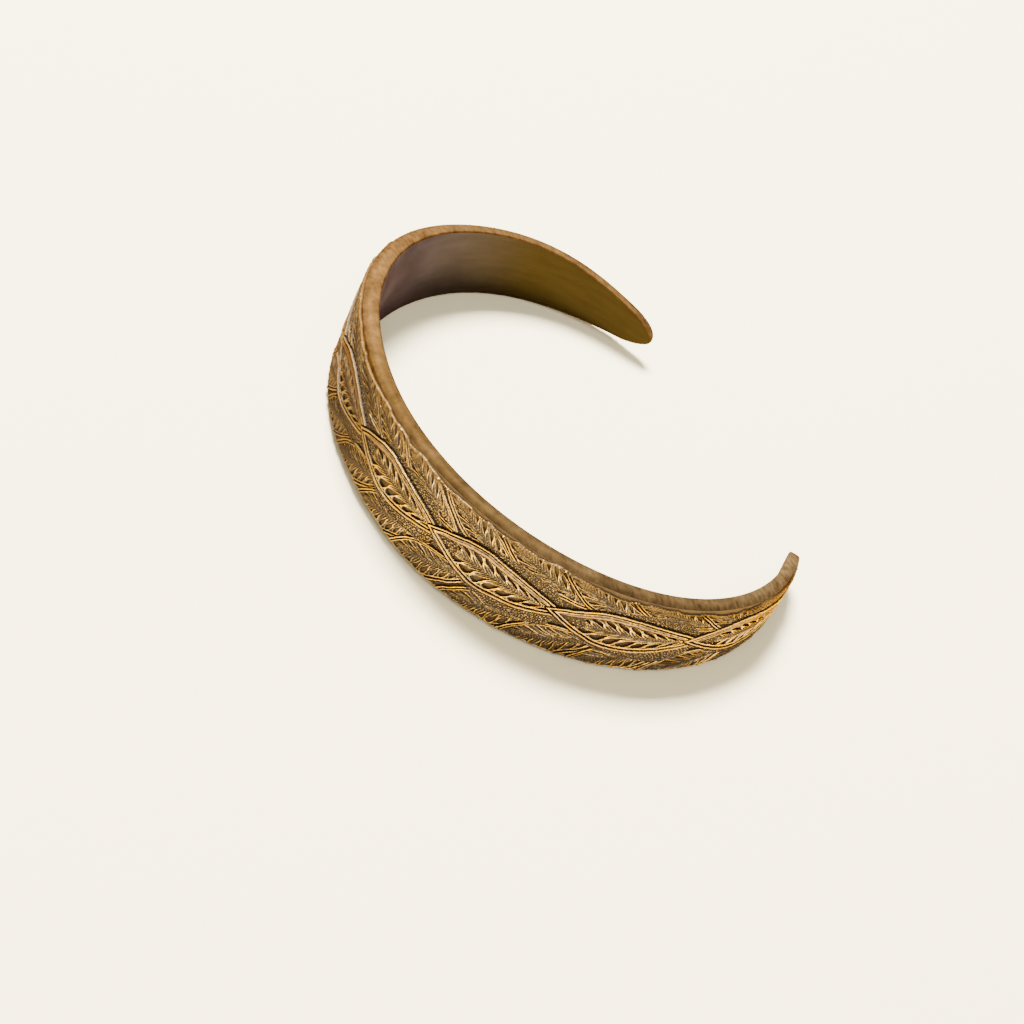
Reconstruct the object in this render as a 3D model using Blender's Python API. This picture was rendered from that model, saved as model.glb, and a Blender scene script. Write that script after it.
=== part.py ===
"""Open cuff bracelet: one cast bronze strip, tapered, bent round a wrist and covered
outside with a chain of pointed feathers.

Units are metres, +Z is up. The cuff lies on its lower edge, +X points from its back to
the opening and +Y runs across the wrist. The origin is the middle of its footprint.

The strip is worked out flat first: "along" runs from the far end (negative) through the
back (zero) to the near end, and "across" from the lower edge to the upper one.
"""

from collections import namedtuple
from math import cos, hypot, pi, radians, sin

import bpy
import numpy as np
from mathutils import Vector
from mathutils.geometry import delaunay_2d_cdt

# Driving dimensions
STRIP_LENGTH = 0.1393
BAND_WIDTH = 0.0130
WALL_THICKNESS = 0.00185
RELIEF_HEIGHT = 0.0005
TOTAL_TURN = 282.4
TIP_LENGTH = 0.0042
TIP_FALL = 0.0016
TIP_WALL_SHARE = 0.30
EDGE_EASE = 0.0002

# The rims: flat for a share of the wall, then rounded over to the outer face, whose edges
# are drawn in by a share of half the width
RIM_FLAT_SHARE = 0.54
SHOULDER_SHARE = 0.55
SHOULDER_CURVE = 1.6
UPPER_DRAW_IN = 0.07
LOWER_DRAW_IN = 0.02

# How finely the strip is cut into flat panels, and the plain end of each tip
PANEL_LENGTH = 0.0021
TIP_POINTS = 5
TIP_PLAIN = 0.0045

PLAN_POINTS = 2001

# The feathers along the middle; their places are shares of half the strip
FEATHER_COUNT = 9
FIRST_FEATHER = -0.879
LAST_FEATHER = 0.860
FEATHER_OVERLAP = 1.12
FEATHER_HALF_WIDTH = 0.0028
LEAST_SLIMMING = 0.3    # feathers grow narrower with the strip, down to this share
WIDEST_SHARE = 0.44
HEAD_ROUNDNESS = 1.55
TAIL_SHARE = 0.15
BORDER_WIDTH = 0.00035
QUILL_WIDTH = 0.0006
SKIRT_WIDTH = 0.00025
BARB_PITCH = 0.0016

# The shorter feathers that slant in from both rims, two for each one in the middle
SIDE_HALF_WIDTH = 0.0021
SIDE_LENGTH_SHARE = 0.80
SIDE_SLANT = 23.0
SIDE_OVERHANG = 0.0004
SIDE_LAG = 1.3
SIDE_STAGGER = 0.25
SIDE_LIMIT = 0.94

# Spacing of the lines and points that carry the relief
LINE_STEP = 0.0015
FILL_STEP = 0.0026
MERGE_DISTANCE = 0.00007
RIM_CLEARANCE = 0.00012
OUTSIDE_REACH = 0.002

# Sections of the strip. "along" is a share of half its length, "bend" a share of its
# mean bend, "width" a share of the band's width and "wall" a share of the wall.
Section = namedtuple("Section", "along bend width wall")
SECTIONS = (
    Section(-1.0, -0.45, 0.260, 0.64),
    Section(-0.8, 1.61, 0.597, 0.86),
    Section(-0.6, 1.41, 0.786, 1.00),
    Section(-0.4, 1.10, 0.957, 1.16),
    Section(-0.2, 0.84, 1.000, 1.08),
    Section(0.0, 0.64, 0.970, 1.00),
    Section(0.2, 0.97, 1.001, 0.96),
    Section(0.4, 1.07, 0.943, 0.94),
    Section(0.6, 1.29, 0.791, 0.92),
    Section(0.8, 1.24, 0.594, 0.85),
    Section(1.0, 0.24, 0.270, 0.64),
)

# Heights in the relief, as shares of its full height
GROUND_LEVEL = 0.10
VALLEY_LEVEL = 0.22
BARB_LEVEL = 0.70
SPINE_LEVEL = 0.75
BORDER_LEVEL = 1.0
SIDE_SHARE = 0.80

BRONZE = (0.30, 0.19, 0.085)

HALF_STRIP = STRIP_LENGTH / 2
FEATHER_PITCH = (LAST_FEATHER - FIRST_FEATHER) * HALF_STRIP / (FEATHER_COUNT - 1)
MILLIMETRES = 1000.0

Feather = namedtuple("Feather", "head_along head_across angle length half_width quill level")


def through_sections(column, along):
    """Read one column of SECTIONS as a smooth curve at the given places."""
    values = np.array([getattr(row, column) for row in SECTIONS])
    first = 2 * values[0] - values[1]
    last = 2 * values[-1] - values[-2]
    padded = np.concatenate([[first], values, [last]])
    spans = len(values) - 1
    place = (np.asarray(along) / HALF_STRIP + 1) * spans / 2
    place = np.clip(place, 0, spans - 1e-9)
    row = np.floor(place).astype(int)
    t = place - row
    a, b, c, d = (padded[row + step] for step in range(4))
    return 0.5 * (2 * b + (c - a) * t + (2 * a - 5 * b + 4 * c - d) * t**2
                  + (3 * b - a - 3 * c + d) * t**3)


def half_width(along):
    """Half the strip's width, rounded off over the tips."""
    from_tip = np.clip((HALF_STRIP - np.abs(along)) / TIP_LENGTH, 0, 1)
    rounding = np.sqrt(np.clip(1 - (1 - from_tip) ** 2, 0, 1))
    return through_sections("width", along) * BAND_WIDTH / 2 * rounding


def wall_at(along):
    """The plain wall, worn down towards the inner face over the last of each tip."""
    from_tip = np.clip((HALF_STRIP - np.abs(along)) / TIP_FALL, 0, 1)
    rounding = np.sqrt(np.clip(1 - (1 - from_tip) ** 2, 0, 1))
    left = TIP_WALL_SHARE + (1 - TIP_WALL_SHARE) * rounding
    return through_sections("wall", along) * WALL_THICKNESS * left


def panel_lines():
    """Places along the strip where its flat panels meet, one panel centred on the back."""
    count = int((HALF_STRIP - TIP_LENGTH) / PANEL_LENGTH - 0.5)
    lines = (np.arange(count + 1) + 0.5) * PANEL_LENGTH
    return np.concatenate([-lines[::-1], lines])


def tip_lines():
    """Places along one rounded tip, closer together towards its end."""
    turns = np.linspace(0, pi / 2, TIP_POINTS + 1)[:-1]
    return HALF_STRIP - TIP_LENGTH * (1 - np.cos(turns[1:]))[::-1]


class Plan:
    """The inner face seen from above: a bent line with its outward normals."""

    def __init__(self):
        fine = np.linspace(-HALF_STRIP, HALF_STRIP, PLAN_POINTS)
        step = fine[1] - fine[0]
        bend = through_sections("bend", fine)
        turned = np.concatenate([[0], np.cumsum((bend[1:] + bend[:-1]) / 2 * step)])
        turned *= radians(TOTAL_TURN) / turned[-1]
        middle = PLAN_POINTS // 2
        heading = turned - turned[middle]
        steps_x = np.sin(heading)
        steps_y = -np.cos(heading)
        x = np.concatenate([[0], np.cumsum((steps_x[1:] + steps_x[:-1]) / 2 * step)])
        y = np.concatenate([[0], np.cumsum((steps_y[1:] + steps_y[:-1]) / 2 * step)])
        self.lines = np.concatenate([[-HALF_STRIP], panel_lines(), [HALF_STRIP]])
        self.x = np.interp(self.lines, fine, x - x[middle])
        self.y = np.interp(self.lines, fine, y - y[middle])
        self.normal_x = np.interp(self.lines, fine, steps_y)
        self.normal_y = np.interp(self.lines, fine, -steps_x)

    def place(self, along, across, height):
        """Put flat strip places, raised off the inner face, into the bent cuff."""
        x = np.interp(along, self.lines, self.x)
        y = np.interp(along, self.lines, self.y)
        normal_x = np.interp(along, self.lines, self.normal_x)
        normal_y = np.interp(along, self.lines, self.normal_y)
        return np.stack([x + normal_x * height, y + normal_y * height, across], axis=-1)


def feather_edge(share):
    """Half the outline of a feather, from its pointed head (0) to its tail (1)."""
    share = np.clip(share, 0, 1)
    rising = 1 - np.clip(1 - share / WIDEST_SHARE, 0, 1) ** HEAD_ROUNDNESS
    behind = np.clip(share - WIDEST_SHARE, 0, 1) / (1 - WIDEST_SHARE)
    falling = 1 - (1 - TAIL_SHARE) * behind ** 1.6
    return np.where(share < WIDEST_SHARE, rising, falling)


def feathers():
    """Every feather, each lying over the ones before it."""
    first = FIRST_FEATHER * HALF_STRIP
    side_length = SIDE_LENGTH_SHARE * FEATHER_PITCH
    made = []
    for side in (1, -1):
        for index in range(2 * FEATHER_COUNT + 1):
            along = first + (index - SIDE_LAG + SIDE_STAGGER * side) * FEATHER_PITCH / 2
            if abs(along) > SIDE_LIMIT * HALF_STRIP:
                continue
            edge = float(half_width(along))
            slimming = max(LEAST_SLIMMING, (edge * 2 / BAND_WIDTH) ** 0.5)
            made.append(Feather(along, side * (edge + SIDE_OVERHANG), -side * radians(SIDE_SLANT),
                                side_length, SIDE_HALF_WIDTH * slimming, 0.0, SIDE_SHARE))
    made.sort(key=lambda feather: feather.head_along)
    for index in range(FEATHER_COUNT):
        along = first + index * FEATHER_PITCH
        slimming = float(half_width(along + 0.4 * FEATHER_PITCH) * 2 / BAND_WIDTH) ** 0.45
        slimming = max(LEAST_SLIMMING, slimming)
        made.append(Feather(along, 0.0, 0.0, FEATHER_OVERLAP * FEATHER_PITCH,
                            FEATHER_HALF_WIDTH * slimming, QUILL_WIDTH, 1.0))
    return made


def from_feather(feather, x, y):
    """Strip places of points given along and across a feather."""
    turn_x = cos(feather.angle)
    turn_y = sin(feather.angle)
    return (feather.head_along + x * turn_x - y * turn_y,
            feather.head_across + x * turn_y + y * turn_x)


def to_feather(feather, along, across):
    """The opposite of from_feather."""
    turn_x = cos(feather.angle)
    turn_y = sin(feather.angle)
    off_along = along - feather.head_along
    off_across = across - feather.head_across
    return (off_along * turn_x + off_across * turn_y,
            off_across * turn_x - off_along * turn_y)


def quill_at(feather, x, y):
    """Width of the smooth band inside a feather's border: broad above, slim below."""
    if y <= 0 or feather.quill == 0:
        return 0.4 * BORDER_WIDTH
    share = x / feather.length
    return 0.4 * BORDER_WIDTH + feather.quill * max(0.0, sin(pi * min(1.0, share / 0.95)))


def depth_inside(feather, x, y):
    """How far a point lies inside a feather's outline; negative outside it."""
    share = x / feather.length
    if share <= 0:
        return -hypot(x, y)
    if share >= 1:
        return -hypot(x - feather.length, y)
    edge = feather.half_width * float(feather_edge(share))
    near = feather.half_width * float(feather_edge(share + 0.01))
    slope = (near - edge) / (0.01 * feather.length)
    return (edge - abs(y)) / hypot(1, slope)


def barb_lean(feather):
    """How far a barb runs back towards the head from the spine to the border."""
    return 0.75 * feather.half_width


def height_inside(feather, x, y, depth):
    """Height of a feather's surface, as a share of the relief."""
    band = quill_at(feather, x, y)
    border = BORDER_LEVEL * (1 - max(0.0, depth - band) / BORDER_WIDTH)
    spine = SPINE_LEVEL * (1 - abs(y) / (1.2 * BORDER_WIDTH))
    phase = (x + barb_lean(feather) * abs(y) / feather.half_width) / BARB_PITCH
    barb = 1 - 2 * abs(phase - round(phase))
    field = VALLEY_LEVEL + (BARB_LEVEL - VALLEY_LEVEL) * barb
    return feather.level * max(border, spine, field)


def relief(chain, along, across):
    """Height of the cast ornament above the plain wall at one place of the strip."""
    skirt = 0.0
    level = GROUND_LEVEL
    for feather in reversed(chain):
        x, y = to_feather(feather, along, across)
        depth = depth_inside(feather, x, y)
        if depth >= -1e-7:
            level = height_inside(feather, x, y, max(0.0, depth))
            break
        if depth > -SKIRT_WIDTH:
            skirt = max(skirt, feather.level * BORDER_LEVEL * (1 + depth / SKIRT_WIDTH))
    fade = min(1.0, max(0.0, (HALF_STRIP - abs(along)) / TIP_PLAIN - 0.25))
    return RELIEF_HEIGHT * fade * max(level, skirt)


def along_edge(feather, inset, side, start, stop):
    """A line that follows one edge of a feather at a fixed distance inside it."""
    count = max(3, round((stop - start) * feather.length / LINE_STEP) + 1)
    line = []
    for share in np.linspace(start, stop, count):
        x = share * feather.length
        y = feather.half_width * float(feather_edge(share))
        band = quill_at(feather, x, side) if inset == "quill" else 0.0
        foot = quill_at(feather, x, side) + BORDER_WIDTH if inset == "foot" else 0.0
        skirt = -SKIRT_WIDTH if inset == "skirt" else 0.0
        off = 1.15 * (band + foot + skirt)
        if y - off > 0.3 * BORDER_WIDTH or inset == "outline":
            line.append((x, side * (y - off)))
    return line


def feather_lines(feather):
    """The ridges and hollows that shape a feather, along and across it."""
    lines = []
    for side in (1, -1):
        lines.append(along_edge(feather, "outline", side, 0, 0.97))
        lines.append(along_edge(feather, "skirt", side, 0.02, 0.97))
        lines.append(along_edge(feather, "foot", side, 0.08, 0.95))
        if feather.quill and side > 0:
            lines.append(along_edge(feather, "quill", side, 0.12, 0.9))
    spine_start = 0.2 * feather.length
    spine_stop = 0.95 * feather.length
    spine_points = max(3, round((spine_stop - spine_start) / (1.3 * LINE_STEP)))
    for offset in (-1.2 * BORDER_WIDTH, 0, 1.2 * BORDER_WIDTH):
        lines.append([(x, offset) for x in np.linspace(spine_start, spine_stop, spine_points)])
    for number in range(2, int(2 * 1.1 * feather.length / BARB_PITCH)):
        foot_x = number * BARB_PITCH / 2
        for side in (1, -1):
            lines.append(barb_line(feather, foot_x, side))
    return lines


def barb_line(feather, foot_x, side):
    """One barb's ridge, or the hollow beside it, from the spine out to the border."""
    line = []
    for share in (0.22, 0.6, 0.98):
        y = share * feather.half_width
        x = foot_x - barb_lean(feather) * share
        if not 0.12 * feather.length < x < 0.95 * feather.length:
            continue
        edge = feather.half_width * float(feather_edge(x / feather.length))
        room = edge - 1.15 * (quill_at(feather, x, side) + BORDER_WIDTH)
        if y < room - 0.5 * BORDER_WIDTH:
            line.append((x, side * y))
        elif line:
            line.append((x + barb_lean(feather) * (share - room / feather.half_width), side * room))
            break
    return line


def shown_runs(chain, order, line):
    """The stretches of a feather's line that no later feather hides, in strip places."""
    runs = [[]]
    for x, y in line:
        along, across = from_feather(chain[order], x, y)
        edge = float(half_width(along))
        shown = abs(along) < HALF_STRIP - 0.5 * TIP_LENGTH and abs(across) < edge + OUTSIDE_REACH
        shown = shown and abs(abs(across) - edge) > RIM_CLEARANCE
        for later in chain[order + 1:]:
            if depth_inside(later, *to_feather(later, along, across)) > -1.1 * SKIRT_WIDTH:
                shown = False
                break
        if shown:
            runs[-1].append((along, across))
        elif runs[-1]:
            runs.append([])
    return [run for run in runs if len(run) > 1]


def outline_loop():
    """The strip's outline, counter-clockwise, with a point at every panel line."""
    side = np.concatenate([-tip_lines()[::-1], panel_lines(), tip_lines()])
    lower = [(along, -float(half_width(along))) for along in side]
    upper = [(along, float(half_width(along))) for along in side[::-1]]
    return lower + [(HALF_STRIP, 0.0)] + upper + [(-HALF_STRIP, 0.0)]


def triangulate(points, edges, outline_size, merge_distance):
    """Triangles inside an outline that keep all the given edges, and the points they use.

    The first outline_size edges are the outline.
    """
    flat = [Vector((x * MILLIMETRES, y * MILLIMETRES)) for x, y in points]
    found = delaunay_2d_cdt(flat, edges, [], 0, merge_distance * MILLIMETRES)
    places = np.array([tuple(point) for point in found[0]]) / MILLIMETRES
    outline = {frozenset(edge) for edge, sources in zip(found[1], found[4])
               if any(source < outline_size for source in sources)}
    neighbours = {}
    for number, face in enumerate(found[2]):
        for corner, start in enumerate(face):
            side = frozenset((start, face[corner - 1]))
            if side not in outline:
                neighbours.setdefault(side, []).append(number)
    touching = [[] for _ in found[2]]
    for pair in neighbours.values():
        if len(pair) == 2:
            touching[pair[0]].append(pair[1])
            touching[pair[1]].append(pair[0])
    middles = [places[list(face)].mean(axis=0) for face in found[2]]
    inside = {min(range(len(middles)), key=lambda number: hypot(*middles[number]))}
    waiting = list(inside)
    while waiting:
        for number in touching[waiting.pop()]:
            if number not in inside:
                inside.add(number)
                waiting.append(number)
    faces = np.array([found[2][number] for number in sorted(inside)])
    used, renumbered = np.unique(faces, return_inverse=True)
    return places[used], renumbered.reshape(faces.shape).tolist()


def ornamented_face(chain):
    """The outer face laid flat: places and triangles that follow every ridge."""
    points = outline_loop()
    outline_size = len(points)
    edges = [(index, (index + 1) % outline_size) for index in range(outline_size)]
    for order, feather in enumerate(chain):
        for line in feather_lines(feather):
            for run in shown_runs(chain, order, line):
                start = len(points)
                points += run
                edges += [(start + step, start + step + 1) for step in range(len(run) - 1)]
    for along in np.arange(-HALF_STRIP + FILL_STEP, HALF_STRIP, FILL_STEP):
        reach = float(half_width(along)) - 0.3 * FILL_STEP
        rows = max(2, round(2 * reach / FILL_STEP) + 1)
        points += [(along, across) for across in np.linspace(-reach, reach, rows)]
    return triangulate(points, edges, outline_size, MERGE_DISTANCE)


def boundary_loop(faces):
    """The open edge round a set of triangles, as a ring of point numbers."""
    following = {}
    for face in faces:
        for start, stop in zip(face, face[1:] + face[:1]):
            following[start, stop] = True
    after = {start: stop for start, stop in following if (stop, start) not in following}
    ring = [next(iter(after))]
    while after[ring[-1]] != ring[0]:
        ring.append(after[ring[-1]])
    return ring


def drawn_in(across):
    """Where the outer face's places lie once its edges are drawn in."""
    return across * (1 - np.where(across > 0, UPPER_DRAW_IN, LOWER_DRAW_IN))


def eased(places):
    """The rim's ring moved in by the eased edge, for the border of the inner face."""
    along, across = places[:, 0], places[:, 1]
    tip = np.clip((np.abs(along) - (HALF_STRIP - TIP_LENGTH)) / TIP_LENGTH, 0, 1)
    widest = through_sections("width", np.clip(np.abs(along), 0, HALF_STRIP)) * BAND_WIDTH / 2
    return np.stack([along - np.sign(along) * tip**2 * EDGE_EASE,
                     across * (1 - EDGE_EASE / widest)], axis=-1)


def inner_face(loop, ring):
    """Flat panels over the inner face, on a ring that follows the outer face's loop."""
    edges = [(index, (index + 1) % len(ring)) for index in range(len(ring))]
    for line in panel_lines():
        ends = np.flatnonzero(np.abs(loop[:, 0] - line) < 1e-6)
        if len(ends) == 2:
            edges.append((int(ends[0]), int(ends[1])))
    return triangulate(ring, edges, len(ring), 1e-9)[1]


def cuff_mesh():
    """All the cuff's points and triangles, standing on the middle line of its band."""
    plan = Plan()
    chain = feathers()
    places, outer = ornamented_face(chain)
    wall = wall_at(places[:, 0])
    raised = wall + [relief(chain, along, across) for along, across in places]
    ring = boundary_loop(outer)
    loop = places[ring]
    inner_ring = eased(loop)
    flat = RIM_FLAT_SHARE * wall[ring]
    shoulder = flat + SHOULDER_SHARE * (raised[ring] - flat)
    drawn = drawn_in(loop[:, 1])
    rounded = loop[:, 1] + (drawn - loop[:, 1]) * SHOULDER_SHARE ** SHOULDER_CURVE
    points = [plan.place(places[:, 0], drawn_in(places[:, 1]), raised),
              plan.place(loop[:, 0], rounded, shoulder),
              plan.place(loop[:, 0], loop[:, 1], flat),
              plan.place(loop[:, 0], loop[:, 1], np.minimum(EDGE_EASE, 0.6 * flat)),
              plan.place(inner_ring[:, 0], inner_ring[:, 1], np.zeros(len(loop)))]
    rings = [list(ring)]
    for _ in points[1:]:
        start = len(places) + (len(rings) - 1) * len(loop)
        rings.append(list(range(start, start + len(loop))))
    faces = [face[::-1] for face in outer]
    faces += [[rings[-1][corner] for corner in face] for face in inner_face(loop, inner_ring)]
    for outside, inside in zip(rings, rings[1:]):
        for here in range(len(loop)):
            there = (here + 1) % len(loop)
            faces.append([outside[here], outside[there], inside[there]])
            faces.append([outside[here], inside[there], inside[here]])
    return np.concatenate(points), faces


def volume_and_centre(points, faces):
    """Volume of a closed mesh of triangles, and its centre of mass."""
    a, b, c = (points[[face[corner] for face in faces]] for corner in range(3))
    wedges = np.einsum("ij,ij->i", a, np.cross(b, c)) / 6
    centre = ((a + b + c) / 4 * wedges[:, None]).sum(axis=0) / wedges.sum()
    return wedges.sum(), centre


def support_slope(points, centre):
    """Slopes of the plane under the points that carries their centre of mass."""
    low = points[points[:, 2] < np.quantile(points[:, 2], 0.3)] - centre

    def sag(slopes):
        return (slopes[0] * low[:, 0] + slopes[1] * low[:, 1] - low[:, 2]).max()

    best = np.zeros(2)
    reach = 0.1
    while reach > 1e-5:
        tries = [best + reach * np.array(step) for step in
                 ((0, 0), (1, 0), (-1, 0), (0, 1), (0, -1), (1, 1), (-1, 1), (1, -1), (-1, -1))]
        found = min(tries, key=sag)
        if np.array_equal(found, best):
            reach /= 2
        best = found
    return best


def laid_down(points, faces):
    """The cuff resting by itself on its lower edge, over the origin."""
    for _ in range(3):
        centre = volume_and_centre(points, faces)[1]
        slope_x, slope_y = support_slope(points, centre)
        up = Vector((-slope_x, -slope_y, 1)).normalized()
        turn = np.array(up.rotation_difference(Vector((0, 0, 1))).to_matrix())
        points = (points - centre) @ turn.T
    low, high = points.min(axis=0), points.max(axis=0)
    return points - np.array([(low[0] + high[0]) / 2, (low[1] + high[1]) / 2, low[2]])


def bronze():
    """Antique bronze, satin and a little worn."""
    material = bpy.data.materials.new("antique_bronze")
    material.use_nodes = True
    shader = material.node_tree.nodes["Principled BSDF"]
    shader.inputs["Base Color"].default_value = (*BRONZE, 1)
    shader.inputs["Metallic"].default_value = 1.0
    shader.inputs["Roughness"].default_value = 0.38
    material.diffuse_color = (*BRONZE, 1)
    return material


def build_cuff():
    """Make the cuff's one object, with its faces turned outwards."""
    points, faces = cuff_mesh()
    if volume_and_centre(points, faces)[0] < 0:
        faces = [face[::-1] for face in faces]
    points = laid_down(points, faces)
    mesh = bpy.data.meshes.new("cuff")
    mesh.from_pydata([tuple(point) for point in points], [], faces)
    mesh.validate()
    mesh.shade_smooth()
    mesh.set_sharp_from_angle(angle=radians(35))
    mesh.materials.append(bronze())
    cuff = bpy.data.objects.new("cuff", mesh)
    bpy.context.scene.collection.objects.link(cuff)
    print("cuff:", len(mesh.polygons), "triangles")


for old in list(bpy.data.objects):
    bpy.data.objects.remove(old, do_unlink=True)
build_cuff()
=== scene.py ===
import math

import bpy
import numpy as np
from mathutils import Matrix, Vector


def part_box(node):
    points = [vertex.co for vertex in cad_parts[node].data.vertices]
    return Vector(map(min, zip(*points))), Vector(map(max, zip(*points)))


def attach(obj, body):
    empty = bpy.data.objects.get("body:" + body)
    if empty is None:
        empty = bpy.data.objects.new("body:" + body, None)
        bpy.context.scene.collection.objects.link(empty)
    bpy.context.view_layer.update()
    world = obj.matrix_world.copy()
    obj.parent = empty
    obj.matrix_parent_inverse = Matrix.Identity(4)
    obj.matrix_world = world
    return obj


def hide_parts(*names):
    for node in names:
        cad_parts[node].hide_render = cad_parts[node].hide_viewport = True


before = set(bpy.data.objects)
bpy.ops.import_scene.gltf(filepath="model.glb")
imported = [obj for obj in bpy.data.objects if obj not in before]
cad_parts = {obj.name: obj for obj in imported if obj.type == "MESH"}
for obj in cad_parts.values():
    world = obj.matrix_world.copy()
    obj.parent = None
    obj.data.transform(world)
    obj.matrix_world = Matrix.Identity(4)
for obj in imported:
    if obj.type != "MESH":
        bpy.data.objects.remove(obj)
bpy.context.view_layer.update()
mm = 0.001    # the script's lengths are in millimetres, the scene's in metres

# The strip before it is bent
strip = {
    "length": 139.3,       # along the wrist, end to end
    "width": 13.0,         # at its widest
    "wall": 1.85,          # plain metal under the relief
    "turn": 282.4,         # degrees that the whole strip is bent through
    "tipRounding": 4.2,    # length of each rounded end
    "tipFall": 1.6,        # the wall is worn down over the last of each tip,
    "tipWall": 0.30,       # to this share at the very end
    "tipPlain": 5.0,       # the relief fades out over this much of each end
    "edgeEase": 0.22,      # rounding of the inner edges,
    "easeLimit": 0.6,      # at most this share of a rim's flat top
    "rimFlat": 0.54,       # share of the wall that the flat top of a rim takes up
    "rimCurve": 1.6,       # how the rim rounds over from there to the outer face
    "upperDrawIn": 0.07,   # the outer face's edges, drawn in by a share of half the width
    "lowerDrawIn": 0.02,
    "columns": 2001,       # cuts along the strip,
    "tipColumns": 70,      # this many of them round each tip,
    "tipStart": 4,         # the first so many degrees into its rounding
    "reliefRows": 200,     # cuts across the outer face
    "innerRows": 18,
}

# Columns: place along the strip, bend, width and wall, as shares of half the strip, of its mean
# bend, of its width and of its wall
sections = (
    (-1.0, -0.45, 0.260, 0.64),
    (-0.8, 1.61, 0.597, 0.86),
    (-0.6, 1.41, 0.786, 1.00),
    (-0.4, 1.10, 0.957, 1.16),
    (-0.2, 0.84, 1.000, 1.08),
    (0.0, 0.64, 0.970, 1.00),
    (0.2, 0.97, 1.001, 0.96),
    (0.4, 1.07, 0.943, 0.94),
    (0.6, 1.29, 0.791, 0.92),
    (0.8, 1.24, 0.594, 0.85),
    (1.0, 0.24, 0.270, 0.64),
)

halfStrip = strip["length"] / 2


def throughSections(column, along):
    # a smooth curve through one column of the sections
    values = np.array([row[column] for row in sections])
    padded = np.concatenate([[2 * values[0] - values[1]], values, [2 * values[-1] - values[-2]]])
    spans = len(values) - 1
    place = np.clip((np.asarray(along) / halfStrip + 1) * spans / 2, 0, spans - 1e-9)
    row = np.floor(place).astype(int)
    t = place - row
    a, b, c, d = (padded[row + step] for step in range(4))
    return 0.5 * (2 * b + (c - a) * t + (2 * a - 5 * b + 4 * c - d) * t**2
                  + (3 * b - a - 3 * c + d) * t**3)


def wallAt(along):
    fromTip = np.clip((halfStrip - np.abs(along)) / strip["tipFall"], 0, 1)
    rounding = np.sqrt(np.clip(1 - (1 - fromTip) ** 2, 0, 1))
    left = strip["tipWall"] + (1 - strip["tipWall"]) * rounding
    return throughSections(3, along) * strip["wall"] * left


def halfWidth(along):
    fromTip = np.clip((halfStrip - np.abs(along)) / strip["tipRounding"], 0, 1)
    rounding = np.sqrt(np.clip(1 - (1 - fromTip) ** 2, 0, 1))
    return throughSections(2, along) * strip["width"] / 2 * rounding


# Chasing: heights are above the plain wall
relief = {
    "height": 0.50,        # nothing stands higher
    "ground": 0.05,
    "stipple": 0.17,       # the grains on the ground
    "grainPitch": 0.30,    # centre to centre
    "warp": 0.10,          # how far the hand-cut lines wander,
    "warpWaves": (2.6, 2.2),       # in waves this long along and across the strip,
    "fineWarp": 0.35,      # with this share of it again in small ones
    "fineWaves": (0.8, 0.7),
    "roughness": 0.022,
    "roughnessLumps": (0.22, 0.5),
    "tailWidth": 0.15,     # of a feather, as a share of its widest
    "tailTaper": 1.6,
    "moat": 0.15,          # width of the cut round a feather,
    "moatSides": (0.03, 0.05),     # how much of it its inner and outer sides take up,
    "moatDepth": 0.9,      # and its depth, as a share of what lies under it
}

mainFeathers = {
    "count": 9,
    "first": -0.879,       # heads of the first and last, as shares of half the strip
    "last": 0.860,
    "length": 1.12,        # as a share of the distance from head to head
    "halfWidth": 2.85,
    "widest": 0.44,        # share of the length where it is widest
    "point": 1.55,         # 1 is a straight-sided head, 2 a round one
    "lines": (0.13, 0.33, 0.52),   # outer ridge, groove and inner ridge, in from the outline
    "lineWidths": (0.16, 0.11, 0.14),
    "dome": (0.20, 0.10),  # height at the outline, and how much higher the middle is
    "quill": 0.55,         # width of the smooth band under the upper border
    # where the first barb starts, their pitch, lean and curl, half a pit's width, and fine lines to a barb
    "barbs": {
        "upper": {"start": 0.1, "pitch": 1.40, "lean": 1.7, "curl": 1.25, "pit": 0.32, "lines": 3},
        "lower": {"start": 0.5, "pitch": 1.50, "lean": 2.7, "curl": 1.8, "pit": 0.34, "lines": 3},
    },
    "eye": (1.3, 4.6),     # the stippled eye behind the head, from and to
    "skirt": 1.55,         # widest stippled band outside the outline
    "slimming": 0.45,      # how far a feather follows a narrower strip: 0 not at all, 1 fully
}

sideFeathers = {
    "length": 0.86,
    "halfWidth": 2.2,
    "slant": 21.0,         # degrees
    "slantVaries": 3,
    "lengthVaries": 0.06,
    "overhang": 0.4,       # the heads are cut off by the rim
    "lead": 1.3,           # how far they lie before the main heads, in half steps,
    "stagger": 0.25,       # a little less along the upper rim than along the lower
    "lastHead": 0.94,      # none begins past this share of half the strip
    "widest": 0.44,
    "point": 1.6,
    "lines": (0.11, 0.26, 0.40),
    "lineWidths": (0.13, 0.08, 0.10),
    "dome": (0.13, 0.07),
    "quill": 0.0,
    "barbs": {
        "upper": {"start": 0.2, "pitch": 1.25, "lean": 1.6, "curl": 1.3, "pit": 0.27, "lines": 3},
        "lower": {"start": 0.4, "pitch": 1.35, "lean": 2.9, "curl": 1.6, "pit": 0.17, "lines": 3},
    },
    "eye": (0.8, 2.6),
    "skirt": 0.0,
    "slimming": 0.5,
}


def smooth(value):
    value = np.clip(value, 0, 1)
    return value * value * (3 - 2 * value)


def line(offset, half):
    # 1 on a line, falling to 0 at half its width
    return np.clip(1 - (offset / half) ** 2, 0, 1)


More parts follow.
